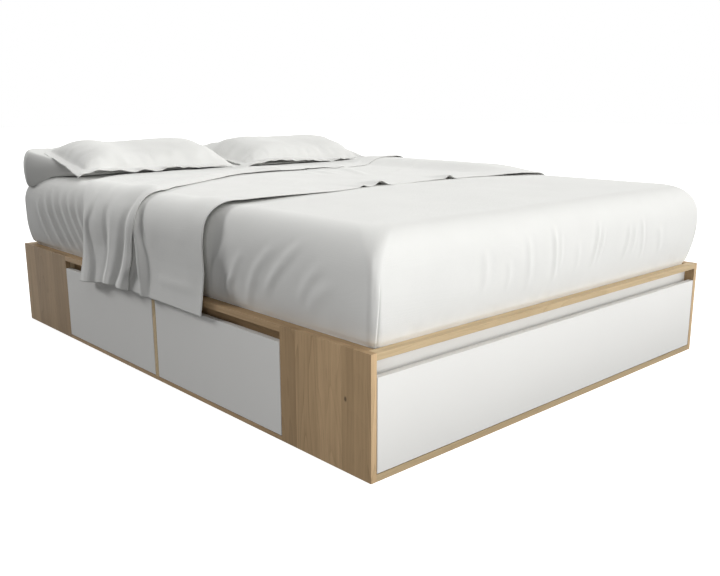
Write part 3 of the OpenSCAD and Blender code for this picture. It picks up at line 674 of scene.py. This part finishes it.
def edge_line(hang, top, far):
    """An edge's place along Y against arc length.

    hang and far, the left and the right hang, are pairs of a height and a place along Y; top has
    pairs of a place across and one along Y.
    """
    knots = [left_arc(z) for z, _ in hang]
    knots += [top_arc(x) for x, _ in top] + [right_arc(z) for z, _ in far]
    return curve_through(knots, [y for _, y in hang + top + far])


FOOT_EDGE = edge_line(
    [(250, -345), (354, -358), (418, -368), (479, -370), (526, -375), (572, -376)],
    [(-735, -390), (-680, -412), (-567, -418), (-436, -408), (-303, -395), (-228, -380),
     (-106, -362), (14, -362), (131, -359), (244, -364), (363, -372), (461, -396),
     (560, -416), (680, -412)],
    [(560, -392), (480, -368), (360, -350), (250, -345)])
CUFF_EDGE = edge_line(
    [(250, 98), (290, 87), (328, 74), (359, 52), (389, 38), (444, 27), (489, 13), (521, 3),
     (550, 3), (585, 9)],
    [(-735, 14), (-690, 38), (-647, 65), (-535, 124), (-403, 203), (-258, 288), (-142, 322),
     (-37, 332), (102, 316), (249, 300), (420, 320), (600, 400)],
    [(560, 400), (420, 360), (250, 330)])
HEAD_EDGE = edge_line(
    [(250, 470), (302, 443), (366, 418), (412, 406), (472, 392), (520, 388), (570, 430)],
    [(-715, 520), (-640, 572), (-560, 590), (-380, 596), (0, 597), (400, 595), (640, 580)],
    [(560, 480), (420, 440), (250, 470)])
# The left hem's height at a place along Y
HEM_Z = curve_through([-420, -349, -163, 9, 106, 190, 260, 330, 400, 484, 560],
                      [277, 277.5, 280, 281, 283, 286, 280, 272, 264, 256, 252])


def line(*points):
    """A fold's place along Y against arc length, from (height, y) pairs on the left hang."""
    points = sorted(points)
    return curve_through([left_arc(z) for z, _ in points], [y for _, y in points])


# Crests and valleys of the cuff's pleats, from its head edge to its free edge, each with its
# level low on the hang and high on it: 1 is a crest and 0 a valley
PLEATS = [
    (line((250, 392), (274, 383), (312, 371), (358, 364), (446, 368), (490, 362), (550, 335),
          (600, 420)), 0.85, 0.85),
    (line((250, 332), (287, 326), (348, 316), (390, 325), (431, 340), (472, 344), (530, 308),
          (600, 350)), 0.22, 0.55),
    (line((250, 306), (287, 300), (340, 274), (389, 248), (431, 245), (488, 242), (544, 238),
          (600, 300)), 0.30, 0.9),
    (line((250, 284), (300, 268), (345, 244), (388, 226), (417, 222), (461, 208), (515, 206),
          (560, 208), (600, 260)), 0.22, 0.5),
    (line((250, 226), (295, 218), (323, 208), (398, 182), (471, 158), (541, 138),
          (600, 150)), 0.96, 1.0),
    (line((250, 214), (295, 206), (323, 192), (398, 160), (471, 132), (541, 104),
          (600, 100)), 1.0, 1.0),
    (line((250, 186), (292, 170), (327, 146), (373, 120), (431, 94), (482, 76), (515, 66),
          (560, 50), (600, 46)), 0.36, 0.42),
    (line((250, 138), (309, 112), (354, 90), (412, 66), (482, 46), (524, 32), (560, 22),
          (600, 20)), 1.1, 1.05),
]
# How far a crest stands out, against arc length
CUFF_DEPTH = curve_through([0, *left_arc([340, 430, 520, 575]), left_arc(600) + 40, ARC_MID],
                           [17, 17, 17, 14, 9, 3.0, 1.0])
# The lower layer's one fold, which falls steeply towards the cuff and slowly towards the foot
LOWER_CREST = line((250, -10), (300, -8), (354, -4), (394, -1), (433, 2), (467, 9), (520, 12),
                   (600, 0))
# Creases on the top as (x, y) and (x, y), then height
CREASES = [((250, 262), (120, -40), 4.0), ((330, 400), (210, 120), 4.5),
           ((560, 480), (300, 330), 4.0), ((120, 330), (60, 60), 3.5),
           ((640, 180), (420, 60), 3.5), ((430, 60), (200, -60), 3.0),
           ((300, 330), (120, 300), 4.0), ((360, 290), (200, 250), 3.5)]
# Small buckles in the foot edge, as place across, width and height
BUCKLES = [(-203, 17, 7.0), (-111, 26, 15.0), (236, 17, 13.0)]


def pleats(s, y):
    """Level of the left cuff's pleats at an arc length and a place along Y."""
    up = smooth(s, left_arc(380), left_arc(500))
    y_of = [HEAD_EDGE(s)] + [fold(s) for fold, _, _ in PLEATS] + [CUFF_EDGE(s) - 2]
    free = 0.22 + 0.58 * smooth(s, left_arc(290), left_arc(365))
    level = [0.35 + 0 * s] + [a + (b - a) * up for _, a, b in PLEATS] + [free]
    h = level[0] + np.zeros(np.broadcast(s, y).shape)
    for k in range(len(y_of) - 1):
        t = np.clip((y_of[k] - y) / np.maximum(y_of[k] - y_of[k + 1], 6.0), 0, 1)
        step = level[k + 1] - level[k]
        # Crests are broad and valleys narrow
        far = np.power(np.where(step < 0, t, 1 - t), 1.4)
        far = far * far * (3 - 2 * far)
        h += step * np.where(step < 0, far, 1 - far)
    return h


def coverlet():
    """The middle of the cloth as a grid: the lower layer, the turn at the head and the cuff."""
    n_low, n_up, n_turn = 128, 100, 9
    shoulder, far_side = left_arc(SHOULDER), 2 * ARC_MID
    s = np.concatenate([np.linspace(0, shoulder, 84)[:-1],
                        np.linspace(shoulder, far_side - shoulder, 180)[:-1],
                        np.linspace(far_side - shoulder, far_side, 72)])
    q_even = np.minimum(s, far_side - s)
    left = s <= ARC_MID
    down = np.clip(1 - q_even / left_arc(HANG_TOP), 0, 1)
    # The hem ends a little above the section's start, so rows are read at their final height
    q = q_even + 30 * down
    s = np.where(left, q, far_side - q)
    foot, cuff, head = FOOT_EDGE(s), CUFF_EDGE(s), HEAD_EDGE(s)
    v_low, v_up = np.linspace(0, 1, n_low)[:, None], np.linspace(0, 1, n_up)[:, None]
    y_low = foot + (head - foot) * v_low
    y_up = head + (cuff - head) * v_up
    x_top = s - ARC_MID

    def folded(y):
        """The cuff's pleats; the right side's are even."""
        on_right = 0.5 + 0.5 * np.sin((y + 40 * noise(q + 0 * y, y, 90, 61)) / 21.0)
        return np.where(left, pleats(q, y), on_right) * CUFF_DEPTH(q)

    def shared(y):
        """Soft swells and creases that both layers follow."""
        puff = smooth(x_top, 470, 640) * (1 - smooth(x_top, 745, 860))
        d = 28 * puff * smooth(y, -430, -160) * (1 - smooth(y, 480, 640))
        d = d + 1.5 * noise(s + 0 * y, y, 130, 31) + 0.8 * noise(s + 0 * y, y, 60, 33)
        on_top = smooth(q, left_arc(596), shoulder + 60)
        for a, b, high in CREASES:
            d = d + on_top * ridge(x_top + 0 * y, y, a, b, 20, high, 0.4)
        return d

    # The lower layer's fold, the hollow behind it and a faint crease across the hang
    d_low = shared(y_low)
    past = y_low - LOWER_CREST(q)
    towards_foot = np.interp(q, [0, *left_arc([300, 392, 525])], [20, 22, 28, 14])
    spread = np.where(past > 0, 14.0, towards_foot)
    height = np.interp(q, [0, *left_arc([300, 392, 480, 590])], [11, 14, 18, 15, 0])
    d_low += left * height * np.exp(-np.square(past / spread))
    at = left_arc([290, 345, 392, 440, 481, 525, 575])
    behind = np.interp(q, at, [-52, -54, -56, -42, -26, -12, 0])
    wide = np.interp(q, at, [32, 34, 38, 30, 20, 12, 10])
    deep = np.interp(q, at, [0, 5, 9, 10, 9, 7, 0])
    d_low -= left * deep * np.exp(-np.square((past - behind) / wide))
    d_low += 1.6 * np.exp(-np.square((q - left_arc(350)) / 18)) * smooth(y_low, -330, -240) * (
        1 - smooth(y_low, -140, -40)) * left
    hang = 1 - smooth(q, left_arc(HANG_TOP), shoulder)
    d_low += hang * 1.2 * noise(s * 0.6 + 0 * y_low, y_low, 70, 32)
    d_low += 0.55 * folded(y_low) * smooth(y_low - cuff, -10, 40)
    # The foot edge stands clear of the bed at both shoulders and in its buckles
    inward = y_low - foot
    lift = np.interp(x_top, [-790, -720, -640, -480, -330, -230, 420, 520, 600, 700, 760],
                     [6, 10, 10, 4.5, 1.5, 0.3, 0.3, 5, 7, 7, 4])
    d_low += lift * smooth(q, left_arc(500), left_arc(590)) * (1 - smooth(inward, 70, 230))
    for x0, width, high in BUCKLES:
        d_low += high * np.exp(-np.square((x_top - x0) / width)) * (1 - smooth(inward, 0, 170))
    # On top the cuff swells behind its free edge, which stands a little clear of the lower layer
    d_up = shared(y_up) + folded(y_up) + TWO_LAYERS
    on_top = smooth(q, left_arc(560), shoulder + 20)
    inside = y_up - cuff
    d_up += on_top * 13.0 * smooth(inside, -4, 40) * (1 - 0.75 * smooth(inside, 45, 190)) * left
    clear = np.interp(x_top, [-760, -640, -450, -150, 150, 400, 520], [0, 2, 3, 3, 2, 1, 0])
    d_up += on_top * clear * (1 - smooth(inside, 0, 60))
    ahead = cuff - y_low
    d_low -= on_top * 2.6 * smooth(ahead, -10, 40) * (1 - smooth(ahead, 70, 260)) * left
    # Hems: a stitched line a little inside each edge
    d_low -= 0.35 * np.exp(-np.square((inward - 13) / 2.0))
    d_up -= 0.35 * np.exp(-np.square((inside - 11) / 2.0))
    d_up = np.maximum(d_up, 3.0 - 0.9 * on_top)
    d_low = np.maximum(d_low, -0.5)
    # The rolled head edge joins the two layers
    d_up += np.maximum(0, TWO_LAYERS - (d_up[0] - d_low[-1])) * (1 - smooth(v_up, 0, 0.4))
    a = np.linspace(0, math.pi, n_turn + 2)[1:-1, None]
    mid_d, half_d = (d_low[-1] + d_up[0]) / 2, (d_up[0] - d_low[-1]) / 2
    y = np.concatenate([y_low, head + np.sin(a) * np.maximum(half_d, 1.6), y_up])
    d = np.concatenate([d_low, mid_d - np.cos(a) * half_d, d_up])
    # Arc lengths are remapped down the hang, so that the cloth ends on the hem's height
    q2 = q_even + np.where(left, HEM_Z(y) - HEM, 29.0) * down
    x, z, nx, nz = section_at(np.where(left, q2, far_side - q2))
    return np.stack([x + nx * d, y, z + nz * d], -1)


cover = sheet_mesh("coverlet_cloth", coverlet(), COVER_T, MATS["cover"])
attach(cover, "base")
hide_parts("coverlet")


# ------------------------------------------------------------------ pillows

# A pillow's middle, its length, its width and its flange
PILLOW_X, PILLOW_Y, PILLOW_L, PILLOW_W, FLANGE = 380.0, 806.0, 724.0, 412.0, 42.0
# A plain pillow's middle and half length, its back, and each side's front
UNDER_X, UNDER_HALF, UNDER_BACK, UNDER_FRONT = 418.0, 381.0, 1034.0, {-1: 690.0, 1: 655.0}


def seam_z(y):
    """Height of a pillow's seam, which rises towards the head."""
    return 611.8 + 90.0 * (y - 600.0) / 412.0


# Loft of a pillow above its seam, from the outer end to the inner end
LOFT = {-1: curve_through([-1, -0.8, -0.6, -0.48, -0.3, -0.14, 0.04, 0.26, 0.5, 0.72, 0.9, 1.0],
                          [84, 78, 76, 70, 59, 57, 61, 66, 71, 78, 84, 88]),
        1: curve_through([-1, -0.8, -0.6, -0.3, 0.0, 0.3, 0.55, 0.75, 0.9, 1.0],
                         [84, 76, 66, 60, 60, 62, 66, 66, 62, 58])}
# How squarely the outer end of the dome is filled
FULL = {-1: 4.4, 1: 4.8}
# Lift of the seam's plane at the outer end and at the inner end
LIFT = {-1: (3.0, -20.0), 1: (0.0, -26.0)}
# How far the front flange rises clear of the bed, from the outer end to the inner end
FRONT = {-1: curve_through([-1, -0.93, -0.8, -0.55, -0.2, 0.3, 1.0], [0, 8, 15, 12, 7, 6, 6]),
         1: curve_through([-1, -0.3, 0.0, 0.3, 0.7, 1.0], [0, 0, 7, 14, 13, 8])}


def pillow(name, side):
    """A pillow in a flanged case, lying back on the plain one; side -1 is the left."""
    nu, nv = 170, 112
    u = np.linspace(-1, 1, nu)[None, :] + np.zeros((nv, 1))
    v = np.linspace(-1, 1, nv)[:, None] + np.zeros((1, nu))
    fu, fv = 1 - 2 * FLANGE / PILLOW_L, 1 - 2 * FLANGE / PILLOW_W
    seed = 50 if side < 0 else 70
    out_lift, in_lift = LIFT[side]
    # The seams draw in between the corners, and the inner end is drawn out
    x = -PILLOW_X + u * (PILLOW_L / 2 - 13 * (1 - v * v)) + 3.0 * noise(v * 300, u * 40, 60, seed)
    x = x + 12 * smooth(u, 0.6, 1.0)
    y = PILLOW_Y + v * (PILLOW_W / 2 - 11 * (1 - u * u)) + 3.0 * noise(
        u * 400, v * 40, 70, seed + 1)
    fu_here = np.where(u > 0, fu + 0.05, fu)
    a, b = np.clip(np.abs(u) / fu_here, 0, 1), np.clip(np.abs(v) / fv, 0, 1)
    dome = np.power(1 - np.power(a, np.where(u > 0, 4.2, FULL[side])), 0.6) * np.power(
        1 - np.power(b, 2.5), 0.64)
    loft = LOFT[side](u) * dome
    # Pulls that run in from the seams
    pull = 1.8 * np.sin(v * 17 + 2.2 * noise(v * 9, u * 3, 1.3, seed + 2)) * np.exp(
        -np.square((1 - a - 0.09) / 0.11)) * (a < 1)
    pull = pull + 0.8 * np.sin(u * 27 + 2.5 * noise(u * 11, v * 3, 1.2, seed + 3)) * np.exp(
        -np.square((1 - b - 0.14) / 0.15)) * (b < 1)
    soft = (2.4 * noise(x, y, 92, seed + 4) + 1.3 * noise(x, y, 41, seed + 5)) * smooth(
        dome, 0.1, 0.6)
    flange = np.maximum(smooth(np.abs(u), fu_here - 0.01, 1.0), smooth(np.abs(v), fv - 0.01, 1.0))
    ruffle = flange * (4.0 * noise(x, y * 0.35, 46, seed + 6) + 2.5 * noise(x, y, 23, seed + 7))
    front = smooth(-v, fv - 0.04, 1.0)
    ruffle = ruffle + front * (5.5 + 5.0 * noise(x, 0 * x, 52, seed + 8) + 2.5 * noise(
        x, 0 * x, 24, seed + 9))
    raised = smooth(-v, -0.2, 1.0) * FRONT[side](u)
    plane = raised + seam_z(y) + out_lift * smooth(-u, 0.5, 1.0) + in_lift * smooth(
        u, 0.72, 1.0) * (0.35 + 0.65 * smooth(v, -1.0, 0.3))
    # The back corner of the flange lies down on the plain pillow
    plane = plane - 9 * smooth(-u, 0.86, 1.0) * smooth(v, 0.55, 1.0)
    # The case's two faces, which keep clear of the bed and of each other
    top = plane + 2.0 + loft + pull * (dome > 0.02) + soft + ruffle
    low = plane - 2.0 - 5.0 * dome + ruffle - raised * smooth(dome, 0.2, 0.7)
    low = np.maximum(low, bed_top(x, y) + 4.5)
    top = np.maximum(top, low + 3.0)
    x = x if side < 0 else -x
    return closed_mesh(name, np.stack([x, y, top], -1), np.stack([x, y, low], -1),
                       MATS["case"], side > 0)


def under_pillow(name, side):
    """A plain pillow with full rounded ends, which lies at the edge of the mattress."""
    n_round, n_wall, n_in, blunt = 160, 22, 24, 2 / 9.0
    front = UNDER_FRONT[side]
    cy, hy = (front + UNDER_BACK) / 2, (UNDER_BACK - front) / 2
    ang = np.linspace(0, 2 * math.pi, n_round, endpoint=False)
    plan = [np.sign(f(ang)) * np.power(np.abs(f(ang)), blunt) for f in (np.cos, np.sin)]
    # Rings as a share of the plan and an angle round the side: underside, side and top
    shares = np.linspace(0, 1, n_in + 1)[:-1]
    rings = [(share, -math.pi / 2) for share in shares]
    rings += [(1.0, a) for a in np.linspace(-math.pi / 2, math.pi / 2, n_wall)]
    rings += [(share, math.pi / 2) for share in shares[::-1]]
    grid = []
    for share, a in rings:
        pull = (1 - math.cos(a)) * (12 if a < 0 else 25)
        share = max(share, 0.004)
        x = -UNDER_X + plan[0] * (UNDER_HALF - pull) * share
        y = cy + plan[1] * (hy - pull * 0.8) * share
        # The outer end narrows towards the front, as the pillow does in height
        if side < 0:
            x = x + 0.50 * np.clip(965 - y, 0, 300) * smooth(-x, 420, 760)
        low = bed_top(np.maximum(x, -778), np.minimum(y, 1010)) + 5.0
        crease = 2.2 * np.sin(y / 13.0 + x / 30.0) * smooth(-x, 640, 760) * math.cos(a)
        end_rise = (14.0 if side < 0 else 4.0) * smooth(-x, 560, 742)
        high = np.maximum(seam_z(y) - 10 + end_rise, low + 7.0)
        z = (low + high) / 2 + (high - low) / 2 * math.sin(a) + crease
        grid.append(np.stack([x, y, z], -1))
    grid = np.array(grid)
    if side > 0:
        grid[..., 0] *= -1
    rows, cols = grid.shape[:2]
    faces = grid_faces(rows, cols, wrap=True, flip=side > 0).tolist()
    first, last = list(range(cols)), list(range((rows - 1) * cols, rows * cols))
    faces += [first[::-1], last] if side < 0 else [first, last[::-1]]
    return make_mesh(name, grid.reshape(-1, 3), faces, MATS["case"])


for word, side in (("left", -1), ("right", 1)):
    for maker, tail in ((pillow, "pillow"), (under_pillow, "under_pillow")):
        piece = maker(f"{word}_{tail}_case", side)
        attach(piece, "base")
        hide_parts(f"{word}_{tail}")


# ------------------------------------------------------------------ studio

def lamp(name, kind, direction, energy):
    """A lamp that shines along a direction."""
    data = bpy.data.lights.new(name, kind)
    data.energy = energy
    obj = bpy.data.objects.new(name, data)
    bpy.context.collection.objects.link(obj)
    obj.rotation_mode = "QUATERNION"
    obj.rotation_quaternion = direction.to_track_quat("-Z", "Y")
    return obj


def area(name, place, target, size, power):
    obj = lamp(name, "AREA", Vector(target) - Vector(place), power)
    obj.location = place
    obj.data.shape, obj.data.size, obj.data.size_y = "RECTANGLE", size[0], size[1]
    obj.visible_camera = False


# A pale floor that takes the object's shadow: plain white to camera, glossy and transmission
# rays, and dim to the rest, so that it throws little light back
FLOOR_HALF, FLOOR_Z = 30000, -0.5
g, shader = new_material("studio_floor")
g.fill(shader, Base_Color=(0.72, 0.72, 0.71), Roughness=0.9, Specular_IOR_Level=0.1)
glow = g.node("Emission", Strength=0.72).outputs[0]
white_floor = g.chain("AddShader", shader.outputs["BSDF"], glow)
dim_floor = g.node("BsdfDiffuse", Color=(0.07, 0.07, 0.07)).outputs["BSDF"]
g.put(g.surface, g.chain("MixShader", g.seen_directly(), dim_floor, white_floor))
corners = [(-1, -1), (1, -1), (1, 1), (-1, 1)]
floor = make_mesh("floor", [(FLOOR_HALF * x, FLOOR_HALF * y, FLOOR_Z) for x, y in corners],
                  [[0, 1, 2, 3]], g.owner)

# The room is lighter above and on the foot and right side than on the left, and white where it
# is seen itself
world = bpy.data.worlds.new("studio")
bpy.context.scene.world = world
g = Graph(world, "OutputWorld")
to_light = g.node("VectorMath")
to_light.operation = "DOT_PRODUCT"
g.put(to_light.inputs[0], g.node("TexCoord").outputs["Generated"])
g.put(to_light.inputs[1], (0.80, -0.45, 0.40))
fall = g.node("MapRange", Value=to_light.outputs["Value"], From_Min=-0.2, From_Max=1.0,
              To_Min=0.0, To_Max=1.90)
fall.interpolation_type = "SMOOTHSTEP"
room = g.node("Background", Color=(1.0, 1.0, 0.99), Strength=fall.outputs["Result"]).outputs[0]
white = g.node("Background", Color=(1, 1, 1), Strength=1.0).outputs[0]
g.put(g.surface, g.chain("MixShader", g.seen_directly(), room, white))

# A low sun from the head's left rakes the folds, and the lamps in front stay below the
# mattress's top
sun = lamp("head_side", "SUN", Vector((0.36, -0.87, -0.33)), 1.75)
sun.data.angle = math.radians(13)
area("front_low", (0.8, -4.6, 0.30), (0.1, -1.0, 0.35), (3.0, 0.5), 24)
area("front_reflector", (0.2, -3.0, 0.03), (0.2, -3.0, 1.0), (4.0, 3.2), 39)
area("left_near", (-2.4, -1.9, 0.7), (-0.8, -1.0, 0.3), (0.8, 0.6), 7.3)
area("left_high", (-1.8, 0.3, 1.2), (-0.8, 0.3, 0.5), (0.8, 0.6), 0.6)

# The photograph's camera: place in metres, angles in degrees, focal length in its pixels
CAMERA_PLACE = Vector((-2.008977, -2.331688, 0.877159))
YAW, PITCH, ROLL = (math.radians(angle) for angle in (42.428, 12.794, -0.14))
FOCAL_PX, PHOTO_PX, SENSOR = 810.036, 720.0, 36.0
cam_data = bpy.data.cameras.new("camera")
cam_data.sensor_width = SENSOR
cam_data.lens = SENSOR * FOCAL_PX / PHOTO_PX
cam_data.clip_start, cam_data.clip_end = 0.05, 200
cam = bpy.data.objects.new("camera", cam_data)
bpy.context.collection.objects.link(cam)
look = Vector((math.sin(YAW) * math.cos(PITCH), math.cos(YAW) * math.cos(PITCH), -math.sin(PITCH)))
level = Vector((math.cos(YAW), -math.sin(YAW), 0))
upward = level.cross(look)
right = level * math.cos(ROLL) + upward * math.sin(ROLL)
up = upward * math.cos(ROLL) - level * math.sin(ROLL)
cam.matrix_world = Matrix((
    (right.x, up.x, -look.x, CAMERA_PLACE.x),
    (right.y, up.y, -look.y, CAMERA_PLACE.y),
    (right.z, up.z, -look.z, CAMERA_PLACE.z), (0, 0, 0, 1)))
bpy.context.scene.camera = cam
bpy.context.scene.view_settings.view_transform = "Standard"

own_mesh(cover)
